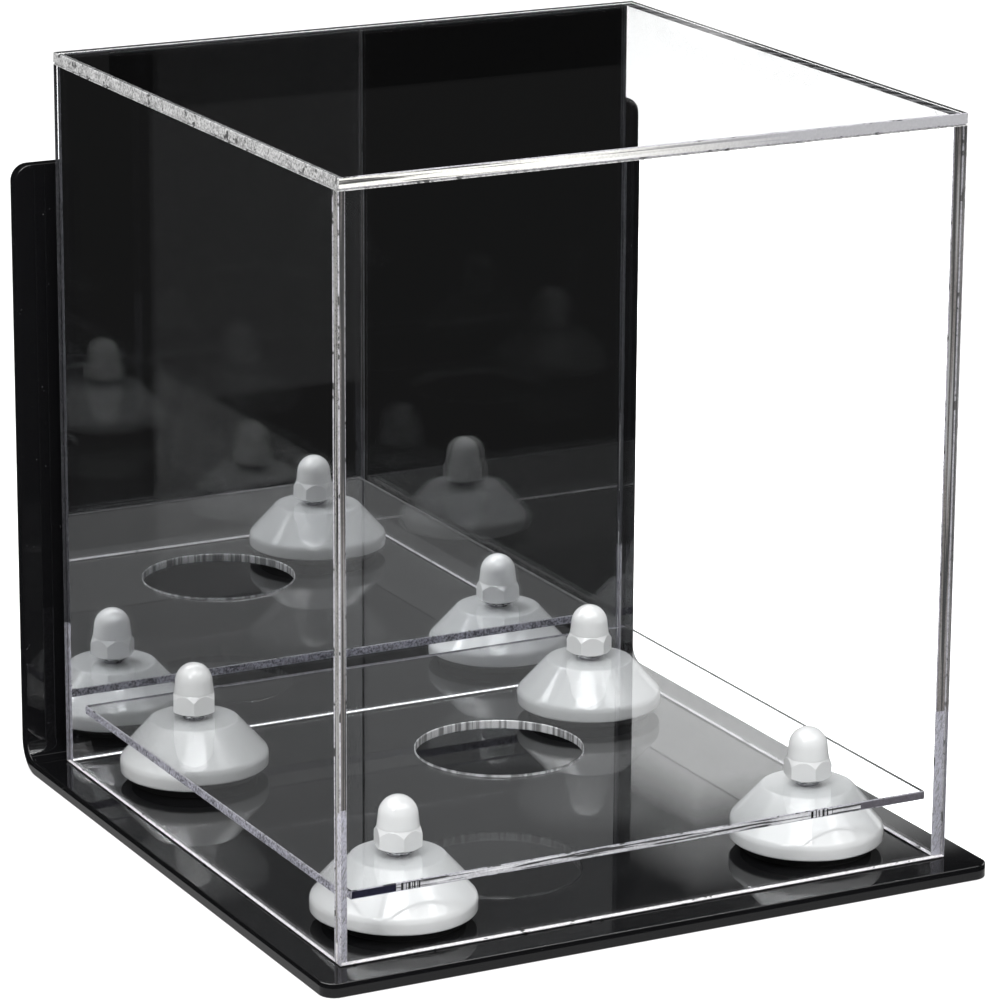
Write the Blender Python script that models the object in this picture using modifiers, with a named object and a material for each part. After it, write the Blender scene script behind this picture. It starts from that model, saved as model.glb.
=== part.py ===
# Wall or shelf display case: a clear cover with a mirrored back stands on a bent
# black sheet, over a clear platform that cap nuts clamp to four domed risers.
# Metres, +Z up. The front faces -Y and the wall is at +Y. The origin is the middle of the
# footprint, on the underside of the base.
import math

import bmesh
import bpy

# Fits
GAP = 0.0003
BOLT_CLEARANCE = 0.0005
CUT_OVERRUN = 0.002
MERGE_DISTANCE = 0.00001

# Cover
COVER_WIDTH = 0.2921
COVER_DEPTH = 0.2900
COVER_HEIGHT = 0.3302
COVER_SHEET = 0.0048
MIRROR_SHEET = 0.0030
SHEET_EDGE_CHAMFER = 0.0003

# Bent sheet: base and wall plate, around the cover
BASE_SHEET = 0.0064
BASE_SIDE_MARGIN = 0.01415
BASE_FRONT_MARGIN = 0.0158
BASE_CORNER_RADIUS = 0.007
BASE_EDGE_ROUND = 0.0016
BEND_INNER_RADIUS = 0.0078
WALL_PLATE_HEIGHT = 0.2842
WALL_PLATE_CORNER_RADIUS = 0.0078
WALL_PLATE_CLEARANCE = 0.0123
WALL_SCREW_RADIUS = 0.0028
WALL_SCREW_HEAD_RADIUS = 0.0056
WALL_SCREW_SIDE_INSET = 0.0502
WALL_SCREW_TOP_INSET = 0.0542
WALL_SCREW_LOW_HEIGHT = 0.070

# Platform, inside the cover
PLATFORM_SHEET = 0.0040
PLATFORM_SIDE_CLEARANCE = 0.0027
PLATFORM_FRONT_CLEARANCE = 0.00275
PLATFORM_BACK_CLEARANCE = 0.0103
SEAT_HOLE_RADIUS = 0.0375

# Risers and the stack on each bolt
RISER_RADIUS = 0.0338
RISER_HEIGHT = 0.0213
RISER_FOOT_ROUND = 0.0010
RISER_SIDE_HEIGHT = 0.0044
RISER_SIDE_ROUND = 0.0045
RISER_SHOULDER_RADIUS = 0.0212
RISER_SHOULDER_ROUND = 0.0020
RISER_SIDE_INSET = 0.0050
RISER_FRONT_INSET = 0.0008
PAD_INSET = 0.0052
PAD_HEIGHT = 0.0041
WASHER_RADIUS = 0.0066
WASHER_SHEET = 0.0012
NUT_ACROSS_FLATS = 0.0185
NUT_HEX_HEIGHT = 0.0095
NUT_HEX_CHAMFER = 0.0012
NUT_HEIGHT = 0.0230
NUT_CAP_STEP = 0.00025
NUT_CAP_ROUND_HEIGHT = 0.0085
NUT_BORE_SPARE = 0.0030
BOLT_RADIUS = 0.0040
BOLT_HEAD_RADIUS = 0.0078
BOLT_HEAD_HEIGHT = 0.0038
BOLT_TIP_CHAMFER = 0.0006
BOLT_REACH_IN_NUT = 0.0120

# Counts and angles
BEND_STEPS = 10
CORNER_STEPS = 6
EDGE_ROUND_STEPS = 2
RISER_STEPS = 40
SIDE_ROUND_STEPS = 5
SHOULDER_STEPS = 3
FOOT_STEPS = 2
ROUND_STEPS = 24
CAP_STEPS = 6
HOLE_STEPS = 24
SEAT_HOLE_STEPS = 60
HEX_SIDES = 6
CHAMFER_ANGLE = math.radians(30)
SHARP_ANGLE = math.radians(35)
COPLANAR_ANGLE = math.radians(1)
STAND_CORNERS = {
    "front_left": (-1, -1),
    "front_right": (1, -1),
    "back_left": (-1, 1),
    "back_right": (1, 1),
}
NUT_TURNS = {
    "front_left": math.radians(17),
    "front_right": math.radians(18),
    "back_left": math.radians(6),
    "back_right": math.radians(41),
}

# Widths, outwards and inwards from the cover
BASE_WIDTH = COVER_WIDTH + 2 * BASE_SIDE_MARGIN
WALL_SCREW_SPACING = BASE_WIDTH - 2 * WALL_SCREW_SIDE_INSET
PLATFORM_WIDTH = COVER_WIDTH - 2 * (COVER_SHEET + PLATFORM_SIDE_CLEARANCE)
RISER_SPACING_X = PLATFORM_WIDTH - 2 * (RISER_RADIUS + RISER_SIDE_INSET)

# Depths, inside the cover
ROOM_DEPTH = COVER_DEPTH - COVER_SHEET - MIRROR_SHEET
PLATFORM_DEPTH = ROOM_DEPTH - PLATFORM_FRONT_CLEARANCE - PLATFORM_BACK_CLEARANCE
RISER_SPACING_Y = PLATFORM_DEPTH - 2 * (RISER_RADIUS + RISER_FRONT_INSET)

# Places along the depth, from the base's front edge back to the wall
OVERALL_DEPTH = BASE_FRONT_MARGIN + COVER_DEPTH + WALL_PLATE_CLEARANCE + BASE_SHEET
BASE_FRONT_Y = -OVERALL_DEPTH / 2
WALL_Y = OVERALL_DEPTH / 2
COVER_FRONT_Y = BASE_FRONT_Y + BASE_FRONT_MARGIN
COVER_BACK_Y = COVER_FRONT_Y + COVER_DEPTH
PLATFORM_FRONT_Y = COVER_FRONT_Y + COVER_SHEET + PLATFORM_FRONT_CLEARANCE
PLATFORM_MIDDLE_Y = PLATFORM_FRONT_Y + PLATFORM_DEPTH / 2

# Heights, each piece a gap above the one that carries it
COVER_BOTTOM_Z = BASE_SHEET + GAP
COVER_TOP_Z = COVER_BOTTOM_Z + COVER_HEIGHT
PAD_Z = BASE_SHEET + GAP
RISER_Z = PAD_Z + PAD_HEIGHT + GAP
PLATFORM_Z = RISER_Z + RISER_HEIGHT + GAP
WASHER_Z = PLATFORM_Z + PLATFORM_SHEET + GAP
NUT_Z = WASHER_Z + WASHER_SHEET + GAP
WALL_SCREW_HIGH_HEIGHT = WALL_PLATE_HEIGHT - WALL_SCREW_TOP_INSET

# Radii and the bore that follow the piece inside
PAD_RADIUS = RISER_RADIUS - PAD_INSET
NUT_CAP_RADIUS = NUT_ACROSS_FLATS / 2 - NUT_CAP_STEP
NUT_BORE_DEPTH = BOLT_REACH_IN_NUT + NUT_BORE_SPARE
BOLT_HOLE_RADIUS = BOLT_RADIUS + BOLT_CLEARANCE
BOLT_SINK_RADIUS = BOLT_HEAD_RADIUS + BOLT_CLEARANCE


def clearScene():
    for obj in list(bpy.data.objects):
        bpy.data.objects.remove(obj, do_unlink=True)


def makeCollection(name):
    collection = bpy.data.collections.new(name)
    bpy.context.scene.collection.children.link(collection)
    return collection


def makeMaterial(name, color, roughness, metallic=0.0, alpha=1.0):
    material = bpy.data.materials.new(name)
    material.use_nodes = True
    shader = material.node_tree.nodes["Principled BSDF"]
    shader.inputs["Base Color"].default_value = (*color, 1.0)
    shader.inputs["Roughness"].default_value = roughness
    shader.inputs["Metallic"].default_value = metallic
    shader.inputs["Alpha"].default_value = alpha
    return material


def makeObject(name, mesh, collection, material=None, parent=None, location=(0, 0, 0)):
    obj = bpy.data.objects.new(name, mesh)
    collection.objects.link(obj)
    obj.parent = parent
    obj.location = location
    if material and not mesh.materials:
        mesh.materials.append(material)
    return obj


def makeEmpty(name, collection, location):
    empty = bpy.data.objects.new(name, None)
    empty.location = location
    collection.objects.link(empty)
    return empty


def makeCutter(name, mesh, location=(0, 0, 0)):
    cutter = makeObject(name, mesh, cutters, location=location)
    cutter.hide_render = True
    cutter.display_type = "WIRE"
    return cutter


def boxMesh(name, size):
    """A box of this (x, y, z) size about its own middle."""
    mesh = bpy.data.meshes.new(name)
    shape = bmesh.new()
    bmesh.ops.create_cube(shape, size=1)
    bmesh.ops.scale(shape, vec=size, verts=shape.verts)
    shape.to_mesh(mesh)
    shape.free()
    return mesh


def coneMesh(name, lowRadius, highRadius, height, sides):
    """A capped cone, cylinder or prism standing on its own origin."""
    mesh = bpy.data.meshes.new(name)
    shape = bmesh.new()
    bmesh.ops.create_cone(
        shape,
        cap_ends=True,
        segments=sides,
        radius1=lowRadius,
        radius2=highRadius,
        depth=height,
    )
    bmesh.ops.translate(shape, vec=(0, 0, height / 2), verts=shape.verts)
    shape.to_mesh(mesh)
    shape.free()
    return mesh


def shadeRound(mesh):
    mesh.shade_smooth()
    mesh.set_sharp_from_angle(angle=SHARP_ANGLE)


def evaluatedMesh(obj, name):
    """The object's shape with its modifiers applied, with the seams of a curve's caps closed."""
    bpy.context.view_layer.update()
    graph = bpy.context.evaluated_depsgraph_get()
    mesh = bpy.data.meshes.new_from_object(obj.evaluated_get(graph))
    mesh.name = name
    shape = bmesh.new()
    shape.from_mesh(mesh)
    bmesh.ops.remove_doubles(shape, verts=shape.verts, dist=MERGE_DISTANCE)
    shape.to_mesh(mesh)
    shape.free()
    return mesh


def turnedMesh(name, profile, steps, closed=True):
    """The profile's (radius, height) points turned about Z. A closed profile leaves a bore."""
    mesh = bpy.data.meshes.new(name + "_profile")
    count = len(profile)
    edges = [(i, (i + 1) % count) for i in range(count if closed else count - 1)]
    mesh.from_pydata([(radius, 0, height) for radius, height in profile], edges, [])
    obj = makeObject(name + "_profile", mesh, cutters)
    screw = obj.modifiers.new("Turn", "SCREW")
    screw.axis = "Z"
    screw.angle = math.tau
    screw.steps = steps
    screw.render_steps = steps
    screw.use_merge_vertices = True
    screw.merge_threshold = MERGE_DISTANCE
    turned = evaluatedMesh(obj, name)
    bpy.data.objects.remove(obj, do_unlink=True)
    shadeRound(turned)
    return turned


def arc(middle, radius, start, end, steps):
    """Points on a round corner, from the start angle to the end angle."""
    points = []
    for i in range(steps + 1):
        angle = start + (end - start) * i / steps
        points.append((middle[0] + radius * math.cos(angle), middle[1] + radius * math.sin(angle)))
    return points


def ringMesh(name, outerRadius, height, steps):
    """A flat ring with a hole for the bolt, standing on its own origin."""
    bore = BOLT_HOLE_RADIUS
    profile = [(outerRadius, height), (outerRadius, 0), (bore, 0), (bore, height)]
    return turnedMesh(name, profile, steps)


def cut(obj, cutter, operation="DIFFERENCE"):
    modifier = obj.modifiers.new(cutter.name, "BOOLEAN")
    modifier.operation = operation
    modifier.solver = "EXACT"
    modifier.object = cutter


def bevelEdges(obj, width, steps):
    modifier = obj.modifiers.new("Edges", "BEVEL")
    modifier.limit_method = "ANGLE"
    modifier.angle_limit = SHARP_ANGLE
    modifier.width = width
    modifier.segments = steps


def bentSheetOutline():
    """The base and wall plate seen from the side, as (distance back, height) points."""
    outerRadius = BEND_INNER_RADIUS + BASE_SHEET
    bend = (OVERALL_DEPTH - outerRadius, outerRadius)
    outside = arc(bend, outerRadius, -math.pi / 2, 0, BEND_STEPS)
    inside = arc(bend, BEND_INNER_RADIUS, 0, -math.pi / 2, BEND_STEPS)
    wallTop = [(OVERALL_DEPTH, WALL_PLATE_HEIGHT), (OVERALL_DEPTH - BASE_SHEET, WALL_PLATE_HEIGHT)]
    return [(0, 0), *outside, *wallTop, *inside, (0, BASE_SHEET)]


def roundSheetCorners(mesh):
    """Rounds the base's two front corners and the wall plate's two top corners."""
    shape = bmesh.new()
    shape.from_mesh(mesh)
    bmesh.ops.dissolve_limit(
        shape, angle_limit=COPLANAR_ANGLE, verts=shape.verts, edges=shape.edges
    )
    corners = (
        (0, 0, BASE_CORNER_RADIUS),
        (1, WALL_PLATE_HEIGHT, WALL_PLATE_CORNER_RADIUS),
    )
    for axis, place, radius in corners:
        ends = []
        for edge in shape.edges:
            onEnd = all(abs(vert.co[axis] - place) < MERGE_DISTANCE for vert in edge.verts)
            side = abs(edge.verts[0].co.z - edge.verts[1].co.z) < MERGE_DISTANCE
            if onEnd and side:
                ends.append(edge)
        bmesh.ops.bevel(
            shape,
            geom=ends,
            offset=radius,
            segments=CORNER_STEPS,
            profile=0.5,
            affect="EDGES",
        )
    shape.to_mesh(mesh)
    shape.free()


def makeBentSheet():
    curve = bpy.data.curves.new("base_wall_bracket_outline", "CURVE")
    curve.dimensions = "2D"
    curve.fill_mode = "BOTH"
    curve.extrude = BASE_WIDTH / 2
    outline = bentSheetOutline()
    spline = curve.splines.new("POLY")
    spline.points.add(len(outline) - 1)
    for point, (back, height) in zip(spline.points, outline):
        point.co = (back, height, 0, 1)
    spline.use_cyclic_u = True
    guide = makeObject("base_wall_bracket_outline", curve, cutters)
    # The outline's own X runs back along Y and its own Y runs up along Z.
    guide.rotation_euler = (math.pi / 2, 0, math.pi / 2)
    guide.location = (0, BASE_FRONT_Y, 0)
    mesh = evaluatedMesh(guide, "base_wall_bracket")
    roundSheetCorners(mesh)
    bracket = makeObject("base_wall_bracket", mesh, parts, blackAcrylic)
    bracket.matrix_world = guide.matrix_world
    bpy.data.objects.remove(guide, do_unlink=True)
    bevelEdges(bracket, BASE_EDGE_ROUND, EDGE_ROUND_STEPS)
    shadeRound(mesh)
    for height, level in ((WALL_SCREW_LOW_HEIGHT, "low"), (WALL_SCREW_HIGH_HEIGHT, "high")):
        for side, hand in ((-1, "left"), (1, "right")):
            cutWallScrewHole(bracket, f"{level}_{hand}", side * WALL_SCREW_SPACING / 2, height)
    return bracket


def cutWallScrewHole(bracket, name, x, z):
    """A countersunk hole through the wall plate, its wide end at the front."""
    headDepth = WALL_SCREW_HEAD_RADIUS - WALL_SCREW_RADIUS
    overrunRadius = WALL_SCREW_HEAD_RADIUS + CUT_OVERRUN
    back = BASE_SHEET + CUT_OVERRUN
    profile = [
        (0, CUT_OVERRUN),
        (overrunRadius, CUT_OVERRUN),
        (WALL_SCREW_RADIUS, -headDepth),
        (WALL_SCREW_RADIUS, -back),
        (0, -back),
    ]
    mesh = turnedMesh("wall_screw_hole_" + name, profile, HOLE_STEPS, closed=False)
    cutter = makeCutter("wall_screw_hole_" + name, mesh, location=(x, WALL_Y - BASE_SHEET, z))
    # The cutter's axis turns from +Z to the front.
    cutter.rotation_euler = (math.pi / 2, 0, 0)
    cut(bracket, cutter)


def makePanel(name, size, middle, material, parent):
    """A sheet of this size, placed by its world middle under its parent."""
    mesh = boxMesh(name, size)
    location = [middle[axis] - parent.location[axis] for axis in range(len(middle))]
    panel = makeObject(name, mesh, parts, material, parent, location)
    bevelEdges(panel, SHEET_EDGE_CHAMFER, 1)
    return panel


def makeCover():
    """The lift-off cover. Its walls stand behind the front panel and the top lies on them."""
    lift = makeEmpty("cover_lift", parts, (0, COVER_FRONT_Y + COVER_DEPTH / 2, COVER_BOTTOM_Z))
    wallHeight = COVER_HEIGHT - COVER_SHEET - GAP
    wallMiddleZ = COVER_BOTTOM_Z + wallHeight / 2
    middleY = COVER_FRONT_Y + COVER_DEPTH / 2
    makePanel(
        "cover_front_panel",
        (COVER_WIDTH, COVER_SHEET, wallHeight),
        (0, COVER_FRONT_Y + COVER_SHEET / 2, wallMiddleZ),
        clearAcrylic,
        lift,
    )
    sideDepth = COVER_DEPTH - COVER_SHEET - GAP
    sideX = (COVER_WIDTH - COVER_SHEET) / 2
    for side, hand in ((-1, "left"), (1, "right")):
        makePanel(
            f"cover_{hand}_panel",
            (COVER_SHEET, sideDepth, wallHeight),
            (side * sideX, COVER_BACK_Y - sideDepth / 2, wallMiddleZ),
            clearAcrylic,
            lift,
        )
    mirrorWidth = COVER_WIDTH - 2 * (COVER_SHEET + GAP)
    makePanel(
        "mirror_back_panel",
        (mirrorWidth, MIRROR_SHEET, wallHeight),
        (0, COVER_BACK_Y - MIRROR_SHEET / 2, wallMiddleZ),
        mirrorAcrylic,
        lift,
    )
    makePanel(
        "cover_top_panel",
        (COVER_WIDTH, COVER_DEPTH, COVER_SHEET),
        (0, middleY, COVER_TOP_Z - COVER_SHEET / 2),
        clearAcrylic,
        lift,
    )


def makePlatform(standPlaces):
    middle = (0, PLATFORM_MIDDLE_Y, PLATFORM_Z + PLATFORM_SHEET / 2)
    mesh = boxMesh("platform_plate", (PLATFORM_WIDTH, PLATFORM_DEPTH, PLATFORM_SHEET))
    platform = makeObject("platform_plate", mesh, parts, clearAcrylic, location=middle)
    bevelEdges(platform, SHEET_EDGE_CHAMFER, 1)
    height = PLATFORM_SHEET + 2 * CUT_OVERRUN
    low = PLATFORM_Z - CUT_OVERRUN
    seatHole = coneMesh("seat_hole", SEAT_HOLE_RADIUS, SEAT_HOLE_RADIUS, height, SEAT_HOLE_STEPS)
    cut(platform, makeCutter("seat_hole", seatHole, location=(0, PLATFORM_MIDDLE_Y, low)))
    boltHole = coneMesh("platform_bolt_hole", BOLT_HOLE_RADIUS, BOLT_HOLE_RADIUS, height, HOLE_STEPS)
    for corner, (x, y) in standPlaces.items():
        cut(platform, makeCutter("platform_bolt_hole_" + corner, boltHole, location=(x, y, low)))


def riserMesh():
    """A dome with a flat shoulder, a straight cone and an upright side on a flat foot."""
    side = (RISER_RADIUS - RISER_SIDE_ROUND, RISER_SIDE_HEIGHT)
    foot = (RISER_RADIUS - RISER_FOOT_ROUND, RISER_FOOT_ROUND)
    shoulder = (
        RISER_SHOULDER_RADIUS - RISER_SHOULDER_ROUND,
        RISER_HEIGHT - RISER_SHOULDER_ROUND,
    )
    # The cone's side touches both round corners on their outside.
    away = (side[0] - shoulder[0], side[1] - shoulder[1])
    turn = math.asin((RISER_SIDE_ROUND - RISER_SHOULDER_ROUND) / math.hypot(*away))
    slope = math.atan2(away[1], away[0]) + math.pi / 2 + turn
    profile = [(BOLT_HOLE_RADIUS, RISER_HEIGHT)]
    profile += arc(shoulder, RISER_SHOULDER_ROUND, math.pi / 2, slope, SHOULDER_STEPS)
    profile += arc(side, RISER_SIDE_ROUND, slope, 0, SIDE_ROUND_STEPS)
    profile += arc(foot, RISER_FOOT_ROUND, 0, -math.pi / 2, FOOT_STEPS)
    profile.append((BOLT_HOLE_RADIUS, 0))
    return turnedMesh("riser", profile, RISER_STEPS)


def capNutMesh():
    """A hexagon with chamfered corners under a round cap, bored from below."""
    hexRadius = NUT_ACROSS_FLATS / 2 / math.cos(math.pi / HEX_SIDES)
    nut = makeObject(
        "cap_nut_hexagon",
        coneMesh("cap_nut_hexagon", hexRadius, hexRadius, NUT_HEX_HEIGHT, HEX_SIDES),
        cutters,
    )
    faceRadius = NUT_ACROSS_FLATS / 2 - NUT_HEX_CHAMFER
    wideRadius = hexRadius + CUT_OVERRUN
    rise = (wideRadius - faceRadius) * math.tan(CHAMFER_ANGLE)
    envelope = [
        (0, NUT_HEX_HEIGHT + GAP),
        (faceRadius - GAP / math.tan(CHAMFER_ANGLE), NUT_HEX_HEIGHT + GAP),
        (wideRadius, NUT_HEX_HEIGHT - rise),
        (wideRadius, rise),
        (faceRadius - GAP / math.tan(CHAMFER_ANGLE), -GAP),
        (0, -GAP),
    ]
    chamfer = makeCutter(
        "cap_nut_chamfer", turnedMesh("cap_nut_chamfer", envelope, ROUND_STEPS, closed=False)
    )
    roundStart = NUT_HEIGHT - NUT_CAP_ROUND_HEIGHT
    cap = []
    for i in range(CAP_STEPS + 1):
        angle = math.pi / 2 * (1 - i / CAP_STEPS)
        radius = NUT_CAP_RADIUS * math.cos(angle) if i else 0
        cap.append((radius, roundStart + NUT_CAP_ROUND_HEIGHT * math.sin(angle)))
    cap += [(NUT_CAP_RADIUS, NUT_HEX_HEIGHT / 2), (0, NUT_HEX_HEIGHT / 2)]
    dome = makeCutter("cap_nut_dome", turnedMesh("cap_nut_dome", cap, ROUND_STEPS, closed=False))
    boreHeight = NUT_BORE_DEPTH + CUT_OVERRUN
    bore = makeCutter(
        "cap_nut_bore",
        coneMesh("cap_nut_bore", BOLT_HOLE_RADIUS, BOLT_HOLE_RADIUS, boreHeight, HOLE_STEPS),
        location=(0, 0, -CUT_OVERRUN),
    )
    cut(nut, chamfer, "INTERSECT")
    cut(nut, dome, "UNION")
    cut(nut, bore)
    mesh = evaluatedMesh(nut, "cap_nut")
    for helper in (nut, chamfer, dome, bore):
        bpy.data.objects.remove(helper, do_unlink=True)
    shadeRound(mesh)
    return mesh


def boltMesh():
    """A countersunk bolt, its head's flat face a gap above the underside of the base."""
    length = NUT_Z + BOLT_REACH_IN_NUT - GAP
    profile = [
        (0, length),
        (BOLT_RADIUS - BOLT_TIP_CHAMFER, length),
        (BOLT_RADIUS, length - BOLT_TIP_CHAMFER),
        (BOLT_RADIUS, BOLT_HEAD_HEIGHT),
        (BOLT_HEAD_RADIUS, 0),
        (0, 0),
    ]
    return turnedMesh("bolt", profile, ROUND_STEPS, closed=False)


def boltSinkMesh():
    """The hole in the base: straight for the shank, widening downwards for the head."""
    steepness = (BOLT_HEAD_RADIUS - BOLT_RADIUS) / BOLT_HEAD_HEIGHT
    top = BASE_SHEET + CUT_OVERRUN
    profile = [
        (0, top),
        (BOLT_HOLE_RADIUS, top),
        (BOLT_HOLE_RADIUS, BOLT_HEAD_HEIGHT + GAP),
        (BOLT_SINK_RADIUS + (CUT_OVERRUN + GAP) * steepness, -CUT_OVERRUN),
        (0, -CUT_OVERRUN),
    ]
    return turnedMesh("bolt_sink", profile, HOLE_STEPS, closed=False)


def makeStands(bracket):
    """At each corner a bolt goes up through the base, a pad, a riser and the platform."""
    meshes = (
        ("pad", ringMesh("pad", PAD_RADIUS, PAD_HEIGHT, RISER_STEPS), PAD_Z, blackRubber),
        ("riser", riserMesh(), RISER_Z, whiteGloss),
        ("washer", ringMesh("washer", WASHER_RADIUS, WASHER_SHEET, ROUND_STEPS), WASHER_Z, zincSteel),
        ("cap_nut", capNutMesh(), NUT_Z, whiteGloss),
        ("bolt", boltMesh(), GAP, zincSteel),
    )
    sink = boltSinkMesh()
    places = {}
    for corner, (sideX, sideY) in STAND_CORNERS.items():
        x = sideX * RISER_SPACING_X / 2
        y = PLATFORM_MIDDLE_Y + sideY * RISER_SPACING_Y / 2
        places[corner] = (x, y)
        axis = makeEmpty("stand_" + corner, parts, (x, y, 0))
        for name, mesh, height, material in meshes:
            piece = makeObject(f"{name}_{corner}", mesh, parts, material, axis, (0, 0, height))
            if name == "cap_nut":
                piece.rotation_euler = (0, 0, NUT_TURNS[corner])
        cut(bracket, makeCutter("bolt_sink_" + corner, sink, location=(x, y, 0)))
    return places


clearScene()
parts = makeCollection("display_case")
cutters = makeCollection("cutters")
blackAcrylic = makeMaterial("black_acrylic", (0.012, 0.012, 0.013), 0.06)
clearAcrylic = makeMaterial("clear_acrylic", (0.93, 0.94, 0.95), 0.03, alpha=0.15)
mirrorAcrylic = makeMaterial("mirror_acrylic", (0.86, 0.87, 0.88), 0.02, metallic=1.0)
whiteGloss = makeMaterial("white_gloss", (0.86, 0.86, 0.85), 0.12)
blackRubber = makeMaterial("black_rubber", (0.02, 0.02, 0.02), 0.7)
zincSteel = makeMaterial("zinc_steel", (0.62, 0.63, 0.65), 0.3, metallic=1.0)

bentSheet = makeBentSheet()
makePlatform(makeStands(bentSheet))
makeCover()
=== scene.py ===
# A clear display case with a mirrored back on a bent black base, lit as a product photo.
import math

import bmesh
import bpy
from mathutils import Matrix, Vector


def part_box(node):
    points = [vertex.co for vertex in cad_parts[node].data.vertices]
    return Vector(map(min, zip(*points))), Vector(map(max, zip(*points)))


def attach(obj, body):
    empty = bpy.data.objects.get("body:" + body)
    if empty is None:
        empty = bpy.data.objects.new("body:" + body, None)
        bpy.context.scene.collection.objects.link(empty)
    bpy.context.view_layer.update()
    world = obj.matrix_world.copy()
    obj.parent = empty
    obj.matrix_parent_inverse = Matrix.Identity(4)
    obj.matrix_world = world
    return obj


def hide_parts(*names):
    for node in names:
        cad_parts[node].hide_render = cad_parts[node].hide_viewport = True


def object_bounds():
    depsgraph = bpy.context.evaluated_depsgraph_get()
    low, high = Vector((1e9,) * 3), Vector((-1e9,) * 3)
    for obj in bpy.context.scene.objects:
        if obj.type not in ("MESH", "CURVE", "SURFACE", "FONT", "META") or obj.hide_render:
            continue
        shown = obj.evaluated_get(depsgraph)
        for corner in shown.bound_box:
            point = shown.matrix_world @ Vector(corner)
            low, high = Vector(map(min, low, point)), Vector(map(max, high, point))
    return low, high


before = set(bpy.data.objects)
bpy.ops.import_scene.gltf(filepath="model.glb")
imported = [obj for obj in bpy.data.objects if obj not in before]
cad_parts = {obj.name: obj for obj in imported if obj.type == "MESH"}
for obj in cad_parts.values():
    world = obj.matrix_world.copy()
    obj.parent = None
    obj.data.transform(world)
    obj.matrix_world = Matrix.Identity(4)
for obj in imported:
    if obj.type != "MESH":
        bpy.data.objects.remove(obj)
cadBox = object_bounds()
print("frame loaded:", len(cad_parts), "nodes")


# Node trees, for materials, the world and geometry
class Wire:  # a socket that can be used in sums
    def __init__(self, owner, socket):
        self.owner = owner
        self.socket = socket

    def maths(self, operation, *others):
        values = dict(enumerate((self, *others)))
        return self.owner.node("ShaderNodeMath", {"operation": operation}, values)

    def __add__(self, other):
        return self.maths("ADD", other)

    def __sub__(self, other):
        return self.maths("SUBTRACT", other)

    def __rsub__(self, other):
        return self.owner.node("ShaderNodeMath", {"operation": "SUBTRACT"}, {0: other, 1: self})

    def __mul__(self, other):
        return self.maths("MULTIPLY", other)

    def __gt__(self, other):
        return self.maths("GREATER_THAN", other)

    def __lt__(self, other):
        return self.maths("LESS_THAN", other)

    __radd__ = __add__
    __rmul__ = __mul__


class Tree:
    def __init__(self, nodeTree, owner=None):
        self.tree = nodeTree
        self.owner = owner

    def node(self, kind, settings=None, inputs=None, output=0):
        made = self.tree.nodes.new(kind)
        for key, value in (settings or {}).items():
            if key == "stops":  # of a colour ramp: (place, grey or colour)
                ramp = made.color_ramp.elements
                while len(ramp) < len(value):
                    ramp.new(1)
                for element, (place, shade) in zip(ramp, value):
                    element.position = place
                    element.color = (*shade, 1) if isinstance(shade, tuple) else gray(shade)
            elif key == "items":  # of an index switch
                while len(made.index_switch_items) < value:
                    made.index_switch_items.new()
            else:
                setattr(made, key, value)
        for key, value in (inputs or {}).items():
            if isinstance(value, Wire):
                self.tree.links.new(value.socket, made.inputs[key])
            elif value is not None:
                made.inputs[key].default_value = value
        return Wire(self, made.outputs[output])

    def surface(self, shader, kind="ShaderNodeOutputMaterial"):
        out = self.tree.nodes.new(kind)
        self.tree.links.new(shader.socket, out.inputs["Surface"])
        return self.owner

    def mix(self, amount, first, second):  # colours
        settings = {"data_type": "RGBA"}
        return self.node("ShaderNodeMix", settings, {0: amount, 6: first, 7: second}, 2)

    def blend(self, amount, first, second):  # shaders
        return self.node("ShaderNodeMixShader", {}, {0: amount, 1: first, 2: second})

    def plastic(self, sockets):
        return self.node("ShaderNodeBsdfPrincipled", {}, sockets)

    def glow(self, color, strength=1.0):
        return self.node("ShaderNodeEmission", {}, {"Color": color, "Strength": strength})

    def ray(self, name):
        return self.node("ShaderNodeLightPath", output=name)

    def place(self):
        return self.node("ShaderNodeTexCoord", output="Object")

    def spot(self):  # where on the stage
        return self.node("ShaderNodeNewGeometry", output="Position")

    def axis(self, vector, name):
        return self.node("ShaderNodeSeparateXYZ", {}, {0: vector}, name)

    def noise(self, vector, scale, detail=2.0, rough=0.5):
        sockets = {"Vector": vector, "Scale": scale, "Detail": detail, "Roughness": rough}
        return self.node("ShaderNodeTexNoise", {}, sockets, "Fac")

    def ramp(self, value, *stops):
        return self.node("ShaderNodeValToRGB", {"stops": stops}, {"Fac": value})

    def stretched(self, vector, scale):
        return self.node("ShaderNodeMapping", {}, {"Vector": vector, "Scale": scale})

    def leaning(self, vector, turn, length):  # strokes this many times as long as wide, turned about Y
        sockets = {"Vector": vector, "Rotation": (0, turn, 0), "Scale": (1, 1, length)}
        return self.node("ShaderNodeMapping", {"vector_type": "TEXTURE"}, sockets)

    def bump(self, height, strength, distance):
        sockets = {"Height": height, "Strength": strength, "Distance": distance}
        return self.node("ShaderNodeBump", {}, sockets)


def newMaterial(name):
    material = bpy.data.materials.new(name)
    material.use_nodes = True
    material.node_tree.nodes.clear()
    return Tree(material.node_tree, material)


def gray(value):
    return (value, value, value, 1)


def solid(color, strength=1.0):  # a colour with its alpha, made darker by strength
    return (*[c * strength for c in color], 1)


# Camera, fitted to the cover's corners in the photo
cameraSet = {
    "place": (-0.9687, -1.85925, 0.7512),
    "yaw": 27.591,
    "pitch": 16.013,
    "roll": 0.349,
    "lens": 178.41,
    "sensor": 36,
    "reach": 50,
}


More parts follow.
